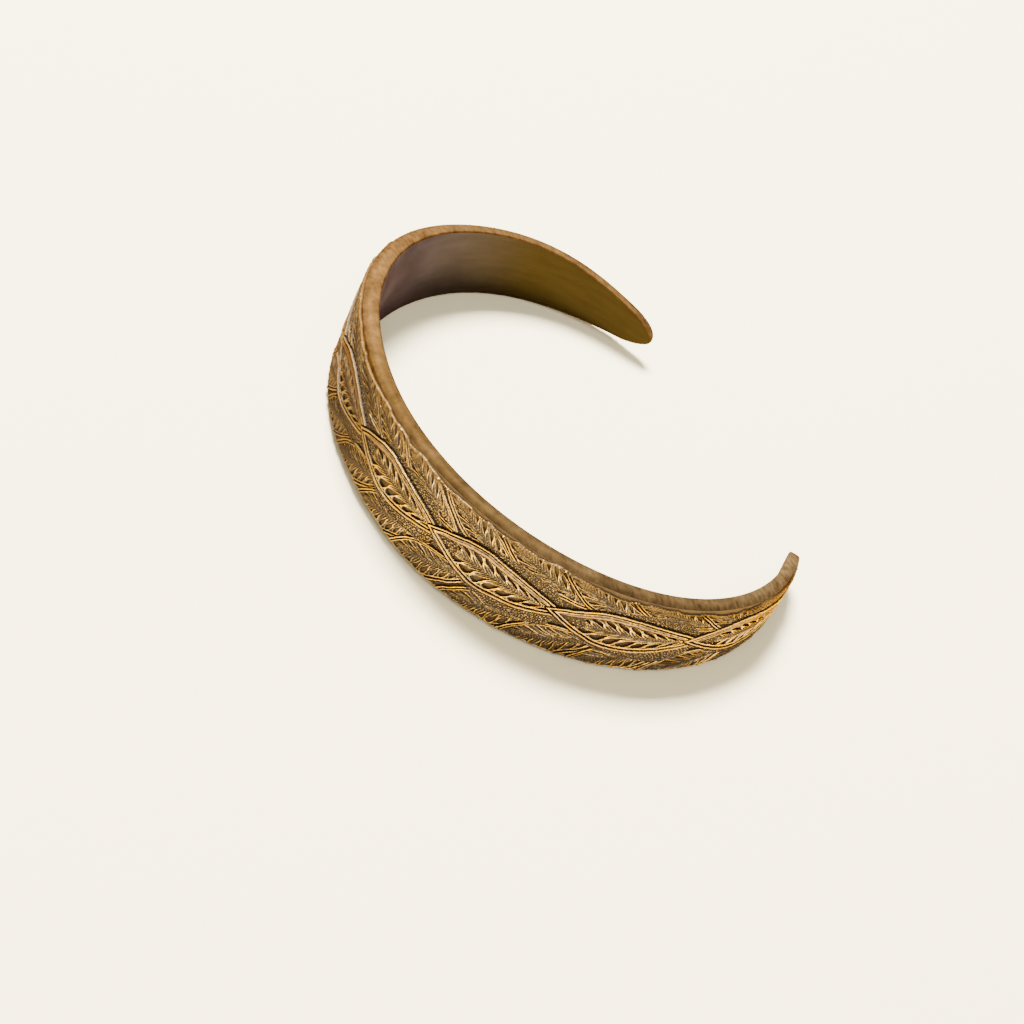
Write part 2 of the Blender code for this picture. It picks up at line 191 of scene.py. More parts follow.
def unevenness(x, y, size, seed):
    # soft noise between -1 and 1, with lumps of one size
    repeat = 64
    table = np.random.default_rng(seed).random((repeat, repeat))
    gridX, gridY = x / size, y / size
    atX, atY = np.floor(gridX).astype(int), np.floor(gridY).astype(int)
    partX, partY = smooth(gridX - atX), smooth(gridY - atY)
    corners = [table[(atX + stepX) % repeat, (atY + stepY) % repeat]
               for stepY in (0, 1) for stepX in (0, 1)]
    near = corners[0] * (1 - partX) + corners[1] * partX
    far = corners[2] * (1 - partX) + corners[3] * partX
    return (near * (1 - partY) + far * partY) * 2 - 1


def grains(x, y, pitch, seed):
    # raised dots on a loose honeycomb: 1 on a dot, 0 between
    repeat = 97
    looseness = 0.6
    table = np.random.default_rng(seed).random((repeat, repeat, 2)) - 0.5
    rowStep = pitch * 0.87         # a honeycomb's rows lie closer than its dots
    rowAt = np.floor(y / rowStep).astype(int)
    nearest = np.full(x.shape, 9.0)
    for stepY in (-1, 0, 1):
        row = rowAt + stepY
        shift = 0.5 * (row % 2)
        at = np.floor(x / pitch - shift).astype(int)
        for stepX in (-1, 0, 1):
            column = at + stepX
            loose = table[column % repeat, row % repeat] * looseness
            dotX = (column + shift + 0.5 + loose[..., 0]) * pitch
            dotY = (row + 0.5 + loose[..., 1]) * rowStep
            nearest = np.minimum(nearest, (x - dotX) ** 2 + (y - dotY) ** 2)
    return np.clip(1 - np.sqrt(nearest) / (0.5 * pitch), 0, 1) ** 0.8


def featherEdge(kind, share):
    # half the outline of a feather, from its pointed head (0) to its tail (1)
    share = np.clip(share, 0, 1)
    widest = kind["widest"]
    rising = 1 - np.clip(1 - share / widest, 0, 1) ** kind["point"]
    past = np.clip(share - widest, 0, 1) / (1 - widest)
    falling = 1 - (1 - relief["tailWidth"]) * past ** relief["tailTaper"]
    return np.where(share < widest, rising, falling)


def sideFeather(head, side, pitch, rng):
    edge = float(halfWidth(head))
    slant = sideFeathers["slant"] + rng.uniform(-sideFeathers["slantVaries"], sideFeathers["slantVaries"])
    seed = int(rng.integers(1000))
    varies = sideFeathers["lengthVaries"]
    return {"kind": sideFeathers, "head": (head, side * (edge + sideFeathers["overhang"])),
            "angle": -side * math.radians(slant), "flip": side, "seed": seed,
            "length": sideFeathers["length"] * pitch * rng.uniform(1 - varies, 1 + varies),
            "halfWidth": sideFeathers["halfWidth"] * (edge * 2 / strip["width"]) ** sideFeathers["slimming"]}


def mainFeather(head, pitch, rng):
    slim = float(halfWidth(head + 0.4 * pitch) * 2 / strip["width"]) ** mainFeathers["slimming"]
    return {"kind": mainFeathers, "head": (head, 0.0), "angle": 0.0, "flip": 1,
            "seed": int(rng.integers(1000)), "length": mainFeathers["length"] * pitch,
            "halfWidth": mainFeathers["halfWidth"] * slim}


def layOut():
    # every feather, each lying over the ones before it
    first = mainFeathers["first"] * halfStrip
    pitch = (mainFeathers["last"] - mainFeathers["first"]) * halfStrip / (mainFeathers["count"] - 1)
    rng = np.random.default_rng(12)
    sides = []
    for side in (1, -1):
        for index in range(2 * mainFeathers["count"] + 1):
            head = first + (index - sideFeathers["lead"] + sideFeathers["stagger"] * side) * pitch / 2
            if abs(head) <= sideFeathers["lastHead"] * halfStrip:
                sides.append(sideFeather(head, side, pitch, rng))
    sides.sort(key=headAlong)
    return sides + [mainFeather(first + index * pitch, pitch, rng) for index in range(mainFeathers["count"])]


def headAlong(one):
    return one["head"][0]


def intoFeather(one, s, v):
    turnX, turnY = math.cos(one["angle"]), math.sin(one["angle"])
    offS, offV = s - one["head"][0], v - one["head"][1]
    return offS * turnX + offV * turnY, offV * turnX - offS * turnY


def depthInside(one, x, y):
    # how far inside the outline a point lies, negative outside; half width there; lean of the outline
    step = 0.01
    share = x / one["length"]
    edge = one["halfWidth"] * featherEdge(one["kind"], share)
    ahead = one["halfWidth"] * featherEdge(one["kind"], share + step)
    lean = np.sqrt(1 + ((ahead - edge) / (step * one["length"])) ** 2)
    depth = (edge - np.abs(y)) / lean
    depth = np.where(share <= 0, -np.hypot(x, y), depth)
    return np.where(share >= 1, -np.hypot(x - one["length"], y), depth), edge, lean


# The cuts between a feather's border and its spine
barbCut = {
    # shares of the way out from the spine
    "pitGrows": (0.18, 0.50),   # where a pit starts to widen, and over how much
    "pitRounds": (0.80, 0.18),  # where it starts to close in a round
    "lipFades": (0.05, 0.25),
    "linesEnd": (0.85, 0.4),
    "teeth": (0.70, 0.15),
    # shares of the pitch from barb to barb
    "pitVaries": 0.4,
    "pitSoftness": 0.10,
    "leastPit": 0.02,
    "lipIn": 0.10,
    "lipHalf": 0.12,
    "dullLip": 0.5,        # each pit has one bright lip and one of this share
}


def barbField(x, y, room, barbs, seed):
    # curved barbs from the border to the spine, with a teardrop pit between each two
    out = np.clip(np.abs(y) / np.maximum(room, 0.05), 0, 1)       # 0 on the spine, 1 at the border
    phase = (x - barbs["start"] - barbs["lean"] * (1 - out) ** barbs["curl"]) / barbs["pitch"]
    cell = np.floor(phase).astype(int)
    offset = np.abs(phase - cell - 0.5)
    table = np.random.default_rng(seed).random(64)
    uneven = table[cell % len(table)]
    varies = barbCut["pitVaries"]
    grows, over = barbCut["pitGrows"]
    wide = barbs["pit"] * (1 - varies / 2 + varies * uneven) * smooth((out - grows) / over)
    rounds, over = barbCut["pitRounds"]
    wide = wide * np.sqrt(np.clip(1 - (np.clip(out - rounds, 0, 1) / over) ** 2, 0, 1))
    pit = smooth((wide - offset) / barbCut["pitSoftness"] + 0.5) * (wide > barbCut["leastPit"])
    bright = np.where(phase - cell > 0.5, 1.0, barbCut["dullLip"])
    fades, over = barbCut["lipFades"]
    ring = bright * line(offset - wide - barbCut["lipIn"], barbCut["lipHalf"]) * smooth((out - fades) / over)
    end, over = barbCut["linesEnd"]
    fine = 0.5 + 0.5 * np.cos(2 * np.pi * barbs["lines"] * phase)
    fine = fine * smooth((end - out) / over)
    return pit, ring, fine, out


# Heights inside a feather, from its domed face
featherCut = {
    "bed": -0.06,          # under the barbs
    "lines": 0.13,         # the fine lines between the pits
    "lip": 0.15,
    "teeth": 0.04,
    "highest": 0.10,
    "pitFloor": 0.01,      # what a pit leaves above the plain wall
    "eyeEnds": (0.3, 0.5),         # how softly the eye begins and ends
    "eyeOut": (0.9, 0.1),  # where it ends on the way out from the spine, and how softly
    "eyeBed": 0.4,         # share of the dome that is left in the eye
    "eyeGrains": 0.20,
    "eyePitch": 1.25,      # its grains are this much larger than the ground's
    "spineBed": -0.02,
    "spineBeads": 0.10,
    "spineHalf": 0.16,     # half its width
    "border": -0.05,       # under the border's ridges,
    "borderBlend": 0.06,   # where it starts over this much
    "quill": (0.04, 0.12),         # its edges and its crown
    "quillEnds": (1.2, 0.4),       # it stops this far from the head and the tail
    "innerRidge": 0.12,
    "outerRidge": (0.10, 0.14),    # its foot and its crown
    "groove": 0.18,
}


def chaseFeather(one, x, y, depth, edge, lean):
    kind = one["kind"]
    upper = y * one["flip"] > 0
    first, groove, second = kind["lines"]
    firstWide, grooveWide, secondWide = kind["lineWidths"]
    low, crown = kind["dome"]
    dome = low + crown * (1 - np.clip(np.abs(y) / np.maximum(edge, 0.1), 0, 1) ** 2)
    inner = second + 0.5 * secondWide
    cut = featherCut
    fromHead, fromTail = cut["quillEnds"]
    along = np.clip((x - fromHead) / (one["length"] - fromHead - fromTail), 0, 1)
    quill = np.where(upper, kind["quill"] * np.sin(np.pi * along ** 0.8) ** 0.7, 0)
    # inside the border: barbs, pits, spine and eye
    roomUp, roomDown = edge - (inner + quill) * lean, edge - inner * lean
    sides = [barbField(x, y, roomUp, kind["barbs"]["upper"], one["seed"]),
             barbField(x, y, roomDown, kind["barbs"]["lower"], one["seed"] + 1)]
    pit, ring, fine, out = (np.where(upper, above, below) for above, below in zip(*sides))
    eyeFrom, eyeTo = kind["eye"]
    softFrom, softTo = cut["eyeEnds"]
    eyeOut, softOut = cut["eyeOut"]
    eye = smooth((eyeTo - x) / softTo) * smooth((x - eyeFrom) / softFrom) * smooth((eyeOut - out) / softOut)
    teethFrom, teethOver = barbCut["teeth"]
    teeth = smooth((out - teethFrom) / teethOver) * (1 - pit)
    field = dome + cut["bed"] + cut["lines"] * fine + cut["lip"] * ring + cut["teeth"] * teeth
    field = np.minimum(field, dome + cut["highest"]) - pit * (dome - cut["pitFloor"])
    dots = grains(x, y, cut["eyePitch"] * relief["grainPitch"], one["seed"])
    field = field * (1 - eye) + eye * (cut["eyeBed"] * dome + cut["eyeGrains"] * dots)
    spine = line(np.abs(y), cut["spineHalf"]) * (1 - eye)
    beads = 0.5 + 0.5 * np.cos(2 * np.pi * x / relief["grainPitch"])
    field = field * (1 - spine) + spine * (dome + cut["spineBed"] + cut["spineBeads"] * beads)
    # the smooth quill band under the upper border, then the two border ridges with their groove
    middle = inner + quill / 2
    band = np.clip(1 - ((depth - middle) / np.maximum(quill / 2, 0.01)) ** 2, 0, 1) * (quill > 0.1)
    inside = smooth((depth - inner) / cut["borderBlend"] + 0.5)
    height = field * inside + (dome + cut["border"]) * (1 - inside)
    foot, crown = cut["quill"]
    height = np.where(band > 0, np.maximum(height, dome + foot + crown * band ** 0.6), height)
    ridge = line(depth - second, secondWide)
    height = np.maximum(height, (dome + cut["innerRidge"] * ridge ** 0.7) * (ridge > 0))
    foot, crown = cut["outerRidge"]
    ridge = line(depth - first, firstWide)
    height = np.maximum(height, (low + foot + crown * ridge ** 0.7) * (ridge > 0))
    height = height - cut["groove"] * line(depth - groove, grooveWide) ** 0.6
    return height, band ** 0.5


# A skirt: stippled rows along a main feather's outline, closed by a thin line
skirtCut = {
    "least": 0.2,          # its width beside the head,
    "grows": (0.12, 0.8),  # where it starts to widen and over how much, as shares of the length,
    "closes": (1.04, 0.16),     # and where it has closed, and over how much
    "bed": 0.02,           # above the ground
    "stipple": 0.20,
    "lineHeight": 0.25,
    "lineIn": 0.08,
    "lineHalf": 0.09,
    "leastForLine": 0.4,   # a narrower skirt has no line
}


def chaseSkirt(one, x, depth):
    # heights of the stippled rows outside the outline, and where they lie
    share = x / one["length"]
    grows, growsOver = skirtCut["grows"]
    closes, closesOver = skirtCut["closes"]
    reach = skirtCut["least"] + one["kind"]["skirt"] * smooth((share - grows) / growsOver)
    reach = reach * smooth((closes - share) / closesOver)
    zone = (depth > -reach) & (depth < 0) & (share > 0) & (share < 1)
    dots = grains(x, depth, relief["grainPitch"], one["seed"] + 9)
    rows = relief["ground"] + skirtCut["bed"] + skirtCut["stipple"] * dots
    closing = line(depth + reach - skirtCut["lineIn"], skirtCut["lineHalf"])
    return np.maximum(rows, skirtCut["lineHeight"] * closing * (reach > skirtCut["leastForLine"])), zone


# Plain metal beside the rims, and the wandering line that closes the chasing there
margins = {
    "widths": {1: 0.38, -1: 0.12},     # beside the upper and the lower rim
    # how far the line wanders, as shares of the width, and the length of the waves
    "longWaves": (0.65, 2.6),
    "shortWaves": (0.45, 0.9),
    "lineHeight": 0.24,
    "lineIn": 0.12,        # from the margin's edge to the line's middle
    "lineHalf": 0.14,
    "blend": 0.05,         # the chasing sinks to the plain metal over this
}


def closeMargins(s, v, height):
    # plain metal beside the rims: the height with it, and where it is
    plain = np.zeros_like(s)
    for side, margin in margins["widths"].items():
        fromRim = halfWidth(s) - side * v
        waves = 0
        for name, seed in (("longWaves", 31), ("shortWaves", 41)):
            share, length = margins[name]
            waves = waves + share * unevenness(s, 0 * s, length, seed + side)
        limit = margin * (1 + waves)
        edgeLine = line(fromRim - limit - margins["lineIn"], margins["lineHalf"]) * (fromRim > limit)
        height = np.maximum(height, margins["lineHeight"] * edgeLine ** 0.7)
        beyond = smooth((limit - fromRim) / margins["blend"] + 0.5)
        height = height * (1 - beyond)
        plain = np.maximum(plain, beyond)
    return height, plain


def chase(s, v):
    # height of the relief over the whole outer face, where it is polished and where it is plain
    wander, wobble = relief["warp"], relief["fineWarp"] * relief["warp"]
    (longS, longV), (shortS, shortV) = relief["warpWaves"], relief["fineWaves"]
    warpS = s + wander * unevenness(s, v, longS, seed=3) + wobble * unevenness(s, v, shortS, seed=5)
    warpV = v + wander * unevenness(s, v, longV, seed=4) + wobble * unevenness(s, v, shortV, seed=6)
    height = relief["ground"] + relief["stipple"] * grains(warpS, warpV, relief["grainPitch"], seed=77)
    polish = np.zeros_like(s)
    alongs = s[:, 0]
    for one in layOut():
        # the cuts that the feather and its skirt can reach
        start = np.searchsorted(alongs, one["head"][0] - 2.0)
        stop = np.searchsorted(alongs, one["head"][0] + one["length"] + 1.0)
        block = slice(start, stop)
        x, y = intoFeather(one, warpS[block], warpV[block])
        depth, edge, lean = depthInside(one, x, y)
        if one["kind"]["skirt"]:
            rows, zone = chaseSkirt(one, x, depth)
            height[block] = np.where(zone, rows, height[block])
            polish[block] = np.where(zone, 0, polish[block])
        made, shine = chaseFeather(one, x, y, depth, edge, lean)
        innerSide, outerSide = relief["moatSides"]
        moat = smooth(-depth / innerSide) * smooth((relief["moat"] + depth) / outerSide)
        height[block] = height[block] * (1 - relief["moatDepth"] * moat)
        inside = depth >= 0
        height[block] = np.where(inside, made, height[block])
        polish[block] = np.where(inside, shine, polish[block])
    for seed, size in enumerate(relief["roughnessLumps"], 8):
        height += relief["roughness"] * unevenness(s, v, size, seed)
    height, plain = closeMargins(s, v, height)
    fade = smooth((halfStrip - np.abs(s)) / strip["tipPlain"] - 0.15)
    return np.clip(height, 0.0, relief["height"]) * fade, polish * fade, np.maximum(plain, 1 - fade)


# How the bent cuff lies: its lean in degrees as it rests on its lower edge
lying = {
    "leanForward": 4.5144,         # towards its opening
    "leanSideways": 0.0,
}


def cutColumns():
    # places of the cuts: even along the strip, gathered towards each rounded tip
    turns = np.radians(np.linspace(strip["tipStart"], 90, strip["tipColumns"]))
    tip = halfStrip - strip["tipRounding"] * (1 - np.cos(turns))
    bodyColumns = strip["columns"] - 2 * strip["tipColumns"]
    body = np.linspace(-tip[-1], tip[-1], bodyColumns + 2)[1:-1]
    return np.concatenate([-tip, body, tip[::-1]])


def ringAround(alongs):
    # every point round every cut, on the flat strip: across it and off its inner face
    wide = halfWidth(alongs)[:, None]
    wall = wallAt(alongs)[:, None]
    ease = np.minimum(strip["edgeEase"] * np.clip(wide, 0, 1), strip["easeLimit"] * strip["rimFlat"] * wall)
    shares = np.linspace(-1, 1, strip["reliefRows"])[None, :]
    laid = shares * wide
    raised, polish, plain = chase(np.repeat(alongs[:, None], laid.shape[1], axis=1), laid)
    drawIn = np.where(shares > 0, strip["upperDrawIn"], strip["lowerDrawIn"])
    parts = {"outer": (laid * (1 - drawIn), wall + raised)}
    # places round a rim: down its rounded shoulder, down its flat top, and round its inner edge
    shoulder = np.array([0.93, 0.78, 0.58, 0.33, 0.0])[None, :]
    flat = np.array([0.6, 0.25])[None, :]
    arc = np.radians([0, 30, 60, 90])[None, :]
    for name, side, drawIn, edge in (("upper", 1, strip["upperDrawIn"], raised[:, -1:]),
                                     ("lower", -1, strip["lowerDrawIn"], raised[:, :1])):
        level, top = strip["rimFlat"] * wall, wall + edge
        v = [wide * (1 - drawIn * shoulder ** strip["rimCurve"]), wide + 0 * flat,
             wide - ease + ease * np.cos(arc)]
        h = [level + (top - level) * shoulder, ease + (level - ease) * flat, ease - ease * np.sin(arc)]
        v, h = np.concatenate(v, axis=1), np.concatenate(h, axis=1)
        if side < 0:
            v, h = v[:, ::-1], h[:, ::-1]
        parts[name] = (side * v, h)
    shares = np.linspace(1, -1, strip["innerRows"])[None, 1:-1]
    parts["inner"] = (shares * (wide - ease), 0 * shares * wide)
    order = ("outer", "upper", "inner", "lower")
    across = np.concatenate([parts[name][0] for name in order], axis=1)
    height = np.concatenate([parts[name][1] for name in order], axis=1)
    counts = {name: parts[name][0].shape[1] for name in order}
    return across, height, raised, polish, plain, counts


# What the bend and the finishes both use to set up nodes

def feed(tree, socket, value):
    # link a socket to another one, or set its value
    if isinstance(value, bpy.types.NodeSocket):
        tree.links.new(value, socket)
    else:
        socket.default_value = value


def maths(tree, operation, *values):
    node = tree.nodes.new("ShaderNodeMath")
    node.operation = operation
    for socket, value in zip(node.inputs, values):
        feed(tree, socket, value)
    return node.outputs[0]


def vectorMaths(tree, operation, first, second):
    node = tree.nodes.new("ShaderNodeVectorMath")
    node.operation = operation
    feed(tree, node.inputs[0], first)
    feed(tree, node.inputs["Scale" if operation == "SCALE" else 1], second)
    return node.outputs[0]


def splitVector(tree, vector):
    node = tree.nodes.new("ShaderNodeSeparateXYZ")
    tree.links.new(vector, node.inputs[0])
    return node.outputs


# The bend round the wrist

def runningTotal(values, step):
    return np.concatenate([[0], np.cumsum((values[1:] + values[:-1]) / 2 * step)])


def wristPath():
    # the inner face's line seen from above, as a curve object for the bend to follow
    steps = 2000
    middle = steps // 2
    fine = np.linspace(-halfStrip, halfStrip, steps + 1)
    step = fine[1] - fine[0]
    turned = runningTotal(throughSections(1, fine), step)
    turned *= math.radians(strip["turn"]) / turned[-1]
    heading = turned - turned[middle]
    x, y = runningTotal(np.sin(heading), step), runningTotal(-np.cos(heading), step)
    x, y = (x - x[middle]) * mm, (y - y[middle]) * mm
    curve = bpy.data.curves.new("wristPath", "CURVE")
    curve.dimensions = "3D"
    spline = curve.splines.new("POLY")
    spline.points.add(len(x) - 1)
    spline.points.foreach_set("co", np.stack([x, y, 0 * x, 0 * x + 1], axis=1).ravel())
    path = bpy.data.objects.new("wristPath", curve)
    bpy.context.scene.collection.objects.link(path)
    return path


def bendTree():
    # bends a flat strip along a path: x runs along it, y off its face and z across it
    tree = bpy.data.node_groups.new("bendRoundWrist", "GeometryNodeTree")
    for name, kind in (("Strip", "NodeSocketGeometry"), ("Path", "NodeSocketObject"),
                       ("Strip Length", "NodeSocketFloat"), ("Metal", "NodeSocketMaterial")):
        tree.interface.new_socket(name, in_out="INPUT", socket_type=kind)
    tree.interface.new_socket("Cuff", in_out="OUTPUT", socket_type="NodeSocketGeometry")
    node, link = tree.nodes.new, tree.links.new
    given, result = node("NodeGroupInput"), node("NodeGroupOutput")
    where = node("GeometryNodeInputPosition")
    flat = splitVector(tree, where.outputs[0])
    share = maths(tree, "DIVIDE", flat["X"], given.outputs["Strip Length"])
    fromStart = maths(tree, "ADD", share, 0.5)
    pathInfo = node("GeometryNodeObjectInfo")
    link(given.outputs["Path"], pathInfo.inputs["Object"])
    sample = node("GeometryNodeSampleCurve")
    sample.mode = "FACTOR"
    sample.use_all_curves = True
    link(pathInfo.outputs["Geometry"], sample.inputs["Curves"])
    link(fromStart, sample.inputs["Factor"])
    outward = vectorMaths(tree, "CROSS_PRODUCT", sample.outputs["Tangent"], (0, 0, 1))
    lift = vectorMaths(tree, "SCALE", outward, flat["Y"])
    across = node("ShaderNodeCombineXYZ")
    link(flat["Z"], across.inputs["Z"])
    lifted = vectorMaths(tree, "ADD", sample.outputs["Position"], lift)
    placed = vectorMaths(tree, "ADD", lifted, across.outputs[0])
    move = node("GeometryNodeSetPosition")
    link(given.outputs["Strip"], move.inputs["Geometry"])
    link(placed, move.inputs["Position"])
    whole = node("GeometryNodeRealizeInstances")
    link(move.outputs[0], whole.inputs[0])
    metal = node("GeometryNodeSetMaterial")
    link(whole.outputs[0], metal.inputs["Geometry"])
    link(given.outputs["Metal"], metal.inputs["Material"])
    link(metal.outputs[0], result.inputs[0])
    return tree


def bentPoints(alongs, across, height):
    # run the bend on every point of the flat strip and read the result back
    flat = np.stack([np.repeat(alongs[:, None], across.shape[1], axis=1), height, across], axis=-1) * mm
    mesh = bpy.data.meshes.new("flatStrip")
    mesh.vertices.add(flat.shape[0] * flat.shape[1])
    mesh.vertices.foreach_set("co", flat.ravel())
    flatStrip = bpy.data.objects.new("flatStrip", mesh)
    bpy.context.scene.collection.objects.link(flatStrip)
    path = wristPath()
    bend = flatStrip.modifiers.new("bend", "NODES")
    bend.node_group = bendTree()
    given = {"Path": path, "Strip Length": strip["length"] * mm}
    for item in bend.node_group.interface.items_tree:
        if item.in_out == "INPUT" and item.name in given:
            bend[item.identifier] = given[item.name]
    ready = flatStrip.evaluated_get(bpy.context.evaluated_depsgraph_get())
    bent = bpy.data.meshes.new_from_object(ready)
    points = np.empty(len(bent.vertices) * 3)
    bent.vertices.foreach_get("co", points)
    for thing in (flatStrip, path):
        bpy.data.objects.remove(thing, do_unlink=True)
    bpy.data.meshes.remove(bent)
    return points.reshape(flat.shape)


def layDown(points):
    # lean the cuff as it rests and set it where its solid lies
    up = Vector((math.tan(math.radians(lying["leanForward"])),
                 -math.tan(math.radians(lying["leanSideways"])), 1)).normalized()
    turn = np.array(Vector((0, 0, 1)).rotation_difference(up).to_matrix())
    points = points @ turn.T
    low, high = (np.array(corner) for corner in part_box("cuff"))
    flat = points.reshape(-1, 3)
    middle = (flat.min(axis=0) + flat.max(axis=0)) / 2
    shift = (low + high) / 2 - middle
    shift[2] = low[2] - flat[:, 2].min()
    return points + shift


# The skin and the pieces cut from it

def normalsOf(points):
    # normals of the whole skin, so that pieces cut from it meet without a seam
    around = np.roll(points, -1, axis=1) - np.roll(points, 1, axis=1)
    along = np.gradient(points, axis=0)
    normals = np.cross(along, around)
    return normals / np.maximum(np.linalg.norm(normals, axis=-1, keepdims=True), 1e-12)


def boxBlur(values, reach):
    # each value becomes the mean of its neighbours, twice over in each direction
    for axis in (0, 1):
        for _ in range(2):
            pad = [(reach + 1, reach) if k == axis else (0, 0) for k in (0, 1)]
            total = np.cumsum(np.pad(values, pad, mode="edge"), axis)
            size = total.shape[axis]
            values = (np.take(total, np.arange(2 * reach + 1, size), axis)
                      - np.take(total, np.arange(0, size - 2 * reach - 1), axis)) / (2 * reach + 1)
    return values


def finishPiece(name, mesh, material):
    mesh.materials.append(material)
    piece = bpy.data.objects.new(name, mesh)
    bpy.context.scene.collection.objects.link(piece)
    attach(piece, "root")
    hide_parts("cuff")


def skinPiece(name, skin, columns, rows, material):
    # one piece of the skin as its own mesh, with its place on the strip and its marks
    part = np.ix_(np.arange(*columns), np.array(rows))
    points = skin["points"][part]
    tall, wide = points.shape[:2]
    number = np.arange(tall * wide).reshape(tall, wide)
    corners = (number[:-1, :-1], number[1:, :-1], number[1:, 1:], number[:-1, 1:])
    faces = np.stack(corners, axis=-1).reshape(-1, 4)
    mesh = bpy.data.meshes.new(name)
    mesh.vertices.add(tall * wide)
    mesh.vertices.foreach_set("co", points.ravel())
    mesh.loops.add(faces.size)
    mesh.loops.foreach_set("vertex_index", faces.ravel())
    mesh.polygons.add(len(faces))
    mesh.polygons.foreach_set("loop_start", np.arange(0, faces.size, 4))
    mesh.update(calc_edges=True)
    mesh.shade_smooth()
    mesh.normals_split_custom_set_from_vertices(skin["normals"][part].reshape(-1, 3))
    place = np.stack([skin["along"][part], skin["across"][part]], axis=-1) * mm
    flatMap = mesh.uv_layers.new(name="strip")
    flatMap.data.foreach_set("uv", place.reshape(-1, 2)[faces.ravel()].ravel())
    layer = mesh.color_attributes.new("marks", "FLOAT_COLOR", "POINT")
    layer.data.foreach_set("color", skin["marks"][part].ravel())
    finishPiece(name, mesh, material)


def capTip(name, skin, column, material):
    # the small flat end that closes a tip
    points = skin["points"][column]
    order = range(len(points)) if column else range(len(points) - 1, -1, -1)
    mesh = bpy.data.meshes.new(name)
    mesh.from_pydata([tuple(point) for point in points], [], [tuple(order)])
    finishPiece(name, mesh, material)


# Steps that the finishes share
glancingTint = (0.40, 0.29, 0.17)      # of the bronze's shine at a flat angle
noiseSpan = (0.3, 0.7)                 # most of a noise's values lie between these


def startMaterial(name):
    material = bpy.data.materials.new(name)
    material.use_nodes = True
    tree = material.node_tree
    return material, tree, tree.nodes["Principled BSDF"]


def startBronze(name):
    material, tree, shader = startMaterial(name)
    shader.inputs["Metallic"].default_value = 1.0
    shader.inputs["Specular Tint"].default_value = (*glancingTint, 1)
    return material, tree, shader


def onStrip(tree):
    # the place on the flat strip, in metres
    node = tree.nodes.new("ShaderNodeUVMap")
    node.uv_map = "strip"
    return node.outputs[0]


def noise(tree, place, scale, detail, roughness=0.5):
    node = tree.nodes.new("ShaderNodeTexNoise")
    feed(tree, node.inputs["Vector"], place)
    feed(tree, node.inputs["Scale"], scale)
    node.inputs["Detail"].default_value = detail
    node.inputs["Roughness"].default_value = roughness
    return node.outputs["Fac"]


def ramp(tree, value, stops):
    node = tree.nodes.new("ShaderNodeValToRGB")
    node.color_ramp.interpolation = "EASE"
    while len(node.color_ramp.elements) < len(stops):
        node.color_ramp.elements.new(0.5)
    for element, (place, colour) in zip(node.color_ramp.elements, stops):
        element.position = place
        element.color = (*colour, 1)
    tree.links.new(value, node.inputs[0])
    return node.outputs[0]


def mapValue(tree, value, old, new, kind="LINEAR"):
    node = tree.nodes.new("ShaderNodeMapRange")
    node.interpolation_type = kind
    tree.links.new(value, node.inputs["Value"])
    for name, number in zip(("From Min", "From Max", "To Min", "To Max"), (*old, *new)):
        node.inputs[name].default_value = number
    return node.outputs[0]


def mixColour(tree, factor, first, second, blend="MIX"):
    node = tree.nodes.new("ShaderNodeMix")
    node.data_type = "RGBA"
    node.blend_type = blend
    for index, value in ((0, factor), (6, first), (7, second)):
        feed(tree, node.inputs[index], (*value, 1) if isinstance(value, tuple) else value)
    return node.outputs[2]


def mixValue(tree, factor, first, second):
    node = tree.nodes.new("ShaderNodeMix")
    for index, value in ((0, factor), (2, first), (3, second)):
        feed(tree, node.inputs[index], value)
    return node.outputs[0]


def addBump(tree, shader, height, strength, depth):
    node = tree.nodes.new("ShaderNodeBump")
    node.inputs["Strength"].default_value = strength
    node.inputs["Distance"].default_value = depth * mm
    tree.links.new(height, node.inputs["Height"])
    tree.links.new(node.outputs[0], shader.inputs["Normal"])


def newGroup(name, inputs, outputs):
    group = bpy.data.node_groups.new(name, "ShaderNodeTree")
    for label, kind, value in inputs:
        socket = group.interface.new_socket(label, in_out="INPUT", socket_type=kind)
        if value is not None:
            socket.default_value = value
    for label, kind in outputs:
        group.interface.new_socket(label, in_out="OUTPUT", socket_type=kind)
    given, result = group.nodes.new("NodeGroupInput"), group.nodes.new("NodeGroupOutput")
    return group, given.outputs, result.inputs


def addGroup(tree, group, given):
    node = tree.nodes.new("ShaderNodeGroup")
    node.node_tree = group
    for name, value in given.items():
        feed(tree, node.inputs[name], value)
    return node.outputs


def brushedGroup():
    # fine scratches that run along the strip, and broad cloudy changes
    group, given, result = newGroup("brushedGrain", [
        ("Place", "NodeSocketVector", None),
        ("Length", "NodeSocketFloat", 150.0),
        ("Fineness", "NodeSocketFloat", 9000.0),
        ("Cloud Size", "NodeSocketFloat", 220.0),
    ], [("Grain", "NodeSocketFloat"), ("Cloud", "NodeSocketFloat")])
    link = group.links.new
    scale = group.nodes.new("ShaderNodeCombineXYZ")
    for axis, name in (("X", "Length"), ("Y", "Fineness"), ("Z", "Fineness")):
        link(given[name], scale.inputs[axis])
    stretched = vectorMaths(group, "MULTIPLY", given["Place"], scale.outputs[0])
    link(noise(group, stretched, scale=1.0, detail=3.0), result["Grain"])
    link(noise(group, given["Place"], given["Cloud Size"], detail=4.0), result["Cloud"])
    return group


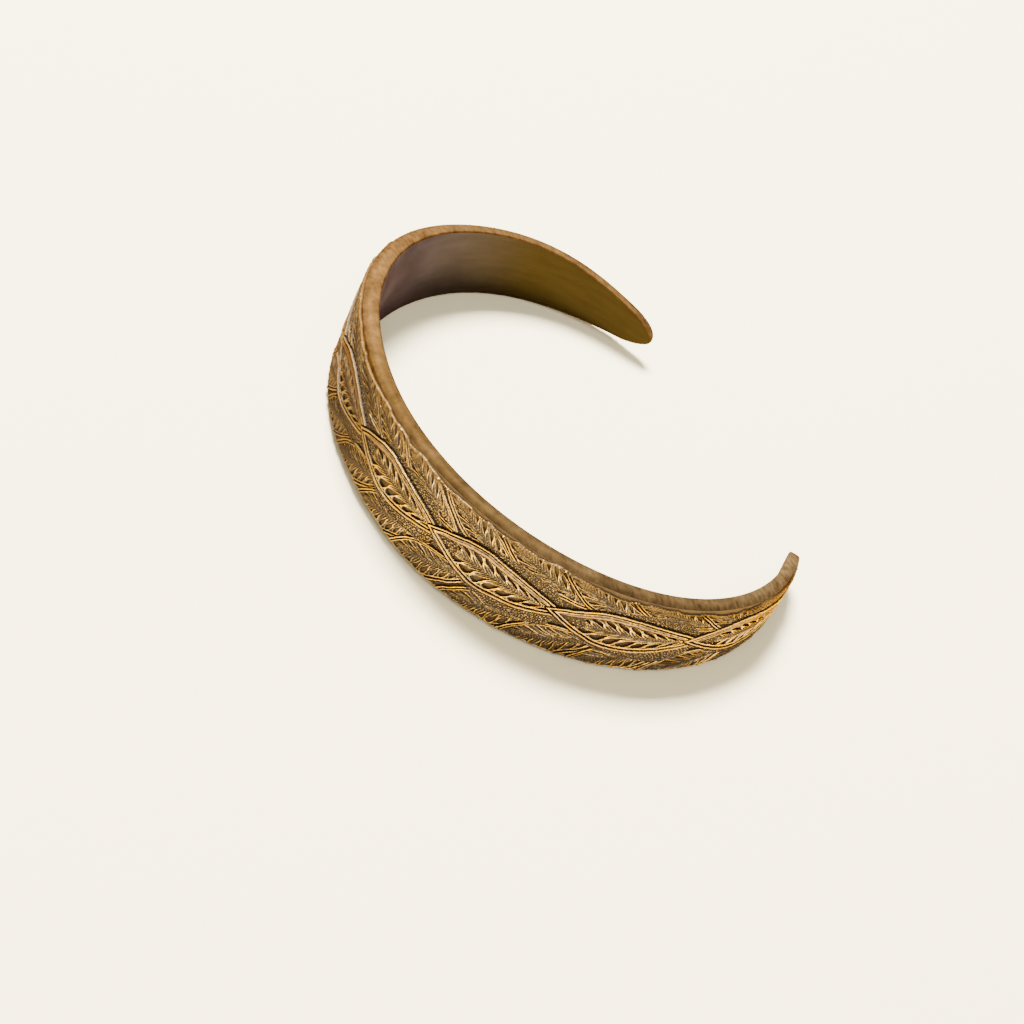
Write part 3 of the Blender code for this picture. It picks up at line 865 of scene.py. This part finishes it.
# The smooth, hand-sanded metal of the rims
satinFinish = {
    # along the strip, as shares of its length from the far tip: the far side's orange brown and the near
    # side's olive brown are the metal's own tints, while the darker dip from the middle into the near side
    # is painted shade, toning down the lamp's reflection on the rims there
    "tones": [(0.40, (0.082, 0.0420, 0.0132)), (0.50, (0.057, 0.0300, 0.0088)),
              (0.60, (0.042, 0.0240, 0.0080)), (0.80, (0.058, 0.0345, 0.0140)),
              (0.95, (0.092, 0.0570, 0.0240))],
    "rough": (0.62, 0.78),
    "cloud": (380.0, 6.0, 0.72),       # scale, detail and roughness
    "clouded": (0.52, 1.48),           # shares of the tone in the darkest and the lightest places
    "scratched": (0.66, 1.34),
    "scratchStretch": (2800.0, 800.0, 1500.0),
    "bump": (0.7, 0.03),               # strength and depth
}


def satinGroup():
    group, given, result = newGroup("satinTone", [
        ("Place", "NodeSocketVector", None),
        ("Strip", "NodeSocketVector", None),
    ], [("Colour", "NodeSocketColor"), ("Rough", "NodeSocketFloat"), ("Scratches", "NodeSocketFloat")])
    link = group.links.new
    half = halfStrip * mm
    share = mapValue(group, splitVector(group, given["Strip"])["X"], (-half, half), (0.0, 1.0))
    tone = ramp(group, share, satinFinish["tones"])
    cloud = noise(group, given["Place"], *satinFinish["cloud"])
    stretched = vectorMaths(group, "MULTIPLY", given["Place"], satinFinish["scratchStretch"])
    scratch = noise(group, stretched, scale=1.0, detail=2.0)
    both = maths(group, "MULTIPLY", mapValue(group, scratch, noiseSpan, satinFinish["scratched"]),
                 mapValue(group, cloud, noiseSpan, satinFinish["clouded"]))
    link(vectorMaths(group, "SCALE", tone, both), result["Colour"])
    link(mapValue(group, scratch, noiseSpan, satinFinish["rough"]), result["Rough"])
    link(scratch, result["Scratches"])
    return group


def addSatin(tree, satin, place):
    coordinates = tree.nodes.new("ShaderNodeTexCoord")
    return addGroup(tree, satin, {"Place": coordinates.outputs["Object"], "Strip": place})


def satinBronze(satin):
    material, tree, shader = startBronze("satinBronze")
    smoothMetal = addSatin(tree, satin, onStrip(tree))
    feed(tree, shader.inputs["Base Color"], smoothMetal["Colour"])
    feed(tree, shader.inputs["Roughness"], smoothMetal["Rough"])
    addBump(tree, shader, smoothMetal["Scratches"], *satinFinish["bump"])
    return material


# Dark patina in the hollows, bare bronze on the ridges, plain satin where the chasing stops, and painted
# shade over the far half
chasedFinish = {
    # from the hollows to the worn ridges
    "tones": [(0.10, (0.076, 0.0520, 0.0290)), (0.38, (0.052, 0.0360, 0.0210)),
              (0.62, (0.063, 0.0480, 0.0350)), (0.84, (0.166, 0.114, 0.0650)),
              (0.99, (0.800, 0.450, 0.0800))],
    "toneVaries": 0.05,
    "quill": (0.240, 0.142, 0.056),
    "rim": (0.170, 0.094, 0.028),      # the worn line beside the upper rim
    "border": (0.210, 0.142, 0.078),   # lightens the plain metal round the chasing,
    "borderShare": 0.50,               # by this much on the near half
    "paintedShadeTint": (0.54, 0.53, 0.60),     # painted shade that darkens the far half, standing in for the dark surroundings it would reflect,
    "paintedDullTint": (0.070, 0.056, 0.041),     # the dull colour of that painted shade,
    "paintedDullShare": 0.60,
    "paintedShadeSpan": (-4.0, 14.0),         # and where that painted shade fades, along the strip from its middle
    "roughWear": (0.3, 0.75),          # from this much wear to this,
    "rough": (0.58, 0.25),             # the roughness goes from the first to the second
    "roughFarHalf": 0.62,
    "quillShine": 0.14,                # how much smoother the polished quills are
    "grain": {"Length": 1500.0, "Fineness": 6000.0},
    "bump": (0.3, 0.04),               # strength and depth
}


def chasedBronze(grain, satin):
    material, tree, shader = startBronze("chasedBronze")
    marks = tree.nodes.new("ShaderNodeAttribute")
    marks.attribute_name = "marks"
    split = tree.nodes.new("ShaderNodeSeparateColor")
    tree.links.new(marks.outputs["Color"], split.inputs[0])
    worn, plain, polish = split.outputs[0], split.outputs[1], split.outputs[2]
    place = onStrip(tree)
    brushed = addGroup(tree, grain, {"Place": place, **chasedFinish["grain"]})
    smoothMetal = addSatin(tree, satin, place)
    varies = chasedFinish["toneVaries"]
    uneven = mapValue(tree, brushed["Cloud"], noiseSpan, (-varies, varies))
    tone = ramp(tree, maths(tree, "ADD", worn, uneven), chasedFinish["tones"])
    colour = mixColour(tree, polish, tone, chasedFinish["quill"])
    # painted shade: the far half is darkened and dulled, standing in for the dark surroundings it would
    # reflect
    start, end = chasedFinish["paintedShadeSpan"]
    farHalfPaintedShade = mapValue(tree, splitVector(tree, place)["X"], (start * mm, end * mm), (1.0, 0.0))
    colour = mixColour(tree, farHalfPaintedShade, colour, chasedFinish["paintedShadeTint"], "MULTIPLY")
    paintedDulling = maths(tree, "MULTIPLY", farHalfPaintedShade, chasedFinish["paintedDullShare"])
    colour = mixColour(tree, paintedDulling, colour, chasedFinish["paintedDullTint"])
    besideRim = maths(tree, "MULTIPLY", marks.outputs["Alpha"], worn)
    colour = mixColour(tree, besideRim, colour, chasedFinish["rim"])
    lighter = mapValue(tree, farHalfPaintedShade, (0.0, 1.0), (chasedFinish["borderShare"], 0.0))
    border = mixColour(tree, lighter, smoothMetal["Colour"], chasedFinish["border"])
    feed(tree, shader.inputs["Base Color"], mixColour(tree, plain, colour, border))
    rough = mapValue(tree, worn, chasedFinish["roughWear"], chasedFinish["rough"])
    rough = mixValue(tree, farHalfPaintedShade, rough, chasedFinish["roughFarHalf"])
    rough = maths(tree, "MULTIPLY_ADD", polish, -chasedFinish["quillShine"], rough)
    feed(tree, shader.inputs["Roughness"], mixValue(tree, plain, rough, smoothMetal["Rough"]))
    addBump(tree, shader, brushed["Grain"], *chasedFinish["bump"])
    return material


# The inside's patina, violet brown at the back and olive towards the ends, the metal's own tints; the back's
# far lighter tone is painted light, standing in for the brighter reflections there
insideFinish = {
    "back": (0.110, 0.099, 0.140),
    "ends": (0.026, 0.0170, 0.0052),
    "towardsEnds": (11.0, 53.0),       # where one turns into the other, from the strip's middle
    "streakSpan": (0.35, 0.65),
    "streaked": (0.92, 1.08),          # shares of the tone in the darkest and the lightest places
    "mottled": (0.80, 1.22),
    "rough": (0.38, 0.50),
    "grain": {"Length": 160.0, "Fineness": 1400.0, "Cloud Size": 130.0},
    "bump": (0.15, 0.03),              # strength and depth
}


def insideBronze(grain):
    material, tree, shader = startBronze("insideBronze")
    place = onStrip(tree)
    brushed = addGroup(tree, grain, {"Place": place, **insideFinish["grain"]})
    fromBack = maths(tree, "ABSOLUTE", splitVector(tree, place)["X"])
    start, end = insideFinish["towardsEnds"]
    towardsEnds = mapValue(tree, fromBack, (start * mm, end * mm), (0.0, 1.0), "SMOOTHSTEP")
    base = mixColour(tree, towardsEnds, insideFinish["back"], insideFinish["ends"])
    streaks = mapValue(tree, brushed["Grain"], insideFinish["streakSpan"], insideFinish["streaked"])
    mottle = mapValue(tree, brushed["Cloud"], noiseSpan, insideFinish["mottled"])
    toned = vectorMaths(tree, "SCALE", base, maths(tree, "MULTIPLY", streaks, mottle))
    feed(tree, shader.inputs["Base Color"], toned)
    rough = mapValue(tree, brushed["Cloud"], noiseSpan, insideFinish["rough"])
    feed(tree, shader.inputs["Roughness"], rough)
    addBump(tree, shader, brushed["Grain"], *insideFinish["bump"])
    return material


# Where the relief is worn bright
wear = {
    # cuts to each side that a mean is taken over, and the rise above it that counts in full
    "fine": (3, 0.13),
    "broad": (9, 0.30),
    "fineShare": 0.55,
    "broadShare": 0.45,
    "lowerEdge": 0.07,         # the lower edge is this much less worn,
    "lowerReach": 3.0,         # up to here from it
    "rimLine": (0.5, 0.9),     # the upper rim's own colour fades from here over this much
}


def markSkin(across, raised, polish, plain):
    # red: worn, green: plain, blue: polished, alpha: near the upper rim
    outer = raised.shape[1]
    reach, rise = wear["fine"]
    fine = (raised - boxBlur(raised, reach)) / rise
    reach, rise = wear["broad"]
    broad = (raised - boxBlur(raised, reach)) / rise
    worn = np.clip(0.5 + wear["fineShare"] * fine + wear["broadShare"] * broad, 0, 1)
    places = across[:, :outer]
    fromRim = places.max(axis=1, keepdims=True) - places
    fromBelow = places - places.min(axis=1, keepdims=True)
    worn = worn * (1 - wear["lowerEdge"] * (1 - smooth(fromBelow / wear["lowerReach"])))
    start, over = wear["rimLine"]
    marks = np.zeros(across.shape + (4,))
    marks[..., 3] = 1
    for channel, values in enumerate((worn, plain, polish, 1 - smooth((fromRim - start) / over))):
        marks[:, :outer, channel] = values
    return marks


def buildCuff():
    alongs = cutColumns()
    across, height, raised, polish, plain, counts = ringAround(alongs)
    print("chased relief:", raised.shape)
    points = layDown(bentPoints(alongs, across, height))
    print("bent and laid down")
    skin = {"points": points, "normals": normalsOf(points), "across": across,
            "along": np.repeat(alongs[:, None], across.shape[1], axis=1),
            "marks": markSkin(across, raised, polish, plain)}
    grain, satinTone = brushedGroup(), satinGroup()
    chased, satin, inside = chasedBronze(grain, satinTone), satinBronze(satinTone), insideBronze(grain)
    print("finishes mixed")
    outer = counts["outer"]
    innerFrom = outer + counts["upper"]
    lowerFrom = innerFrom + counts["inner"]
    whole = (0, len(alongs))
    quarter = np.linspace(0, len(alongs) - 1, 5).astype(int)
    for number, name in enumerate(("feathers_far_end", "feathers_far_side", "feathers_near_side",
                                   "feathers_near_end")):
        skinPiece(name, skin, (quarter[number], quarter[number + 1] + 1), range(outer), chased)
    skinPiece("upper_rim", skin, whole, range(outer - 1, innerFrom), satin)
    skinPiece("lower_rim", skin, whole, [*range(lowerFrom, across.shape[1]), 0], satin)
    skinPiece("inner_face", skin, whole, range(innerFrom - 1, lowerFrom + 1), inside)
    capTip("far_tip", skin, 0, satin)
    capTip("near_tip", skin, len(alongs) - 1, satin)
    print("pieces cut from the skin")


# Camera
view = {
    "aim": (-0.0107, -0.0142, 0.0066),     # metres, like the distance
    "distance": 0.27,
    "azimuth": 34.980,
    "elevation": 39.985,
    "roll": 21.873,
    "focal": 2421.1,       # in pixels of a frame this wide
    "frame": 1024,
    "sensor": 36,
}


def addCamera():
    azimuth, elevation, roll = (math.radians(view[name]) for name in ("azimuth", "elevation", "roll"))
    forward = Vector((math.sin(azimuth) * math.cos(elevation), math.cos(azimuth) * math.cos(elevation),
                      -math.sin(elevation)))
    level = forward.cross(Vector((0, 0, 1))).normalized()
    right = level * math.cos(roll) + level.cross(forward) * math.sin(roll)
    top = right.cross(forward)
    camera = bpy.data.cameras.new("camera")
    camera.sensor_width = view["sensor"]
    camera.lens = view["focal"] / view["frame"] * view["sensor"]
    camera.clip_start = 0.01
    camera.clip_end = 20
    holder = bpy.data.objects.new("camera", camera)
    bpy.context.scene.collection.objects.link(holder)
    turn = Matrix((right, top, -forward)).transposed().to_4x4()
    holder.matrix_world = Matrix.Translation(Vector(view["aim"]) - forward * view["distance"]) @ turn
    bpy.context.scene.camera = holder
    print("camera placed")


# Studio, in metres
studio = {
    "sky": (1.0, 0.98, 0.94),
    "skyStrength": 0.60,
    "lamps": {
        # name: place, size, watts, colour
        "window": ((0.04, 0.43, 0.80), 0.28, 66.0, (1.0, 0.985, 0.95)),
        "front": ((-0.15, -0.50, 0.55), 0.50, 4.5, (1.0, 0.98, 0.95)),
    },
    "floorHalf": 1.5,
    "floorColour": (0.93, 0.825, 0.52),
    "floorRough": 0.8,
}


def addLamp(name, place, size, watts, colour):
    lamp = bpy.data.lights.new(name, "AREA")
    lamp.size = size
    lamp.energy = watts
    lamp.color = colour
    holder = bpy.data.objects.new(name, lamp)
    holder.location = place
    holder.rotation_euler = Vector(place).to_track_quat("Z", "Y").to_euler()    # aimed at the cuff
    bpy.context.scene.collection.objects.link(holder)


def addFloor():
    half = studio["floorHalf"]
    corners = [(-half, -half, 0), (half, -half, 0), (half, half, 0), (-half, half, 0)]
    mesh = bpy.data.meshes.new("floor")
    mesh.from_pydata(corners, [], [(0, 1, 2, 3)])
    floor = bpy.data.objects.new("floor", mesh)
    bpy.context.scene.collection.objects.link(floor)
    material, _, shader = startMaterial("paleCard")
    shader.inputs["Base Color"].default_value = (*studio["floorColour"], 1)
    shader.inputs["Roughness"].default_value = studio["floorRough"]
    mesh.materials.append(material)


def addStudio():
    world = bpy.data.worlds.new("studio")
    world.use_nodes = True
    background = world.node_tree.nodes["Background"]
    background.inputs[0].default_value = (*studio["sky"], 1)
    background.inputs[1].default_value = studio["skyStrength"]
    bpy.context.scene.world = world
    for name, lamp in studio["lamps"].items():
        addLamp(name, *lamp)
    addFloor()
    print("studio ready")


buildCuff()
addCamera()
addStudio()
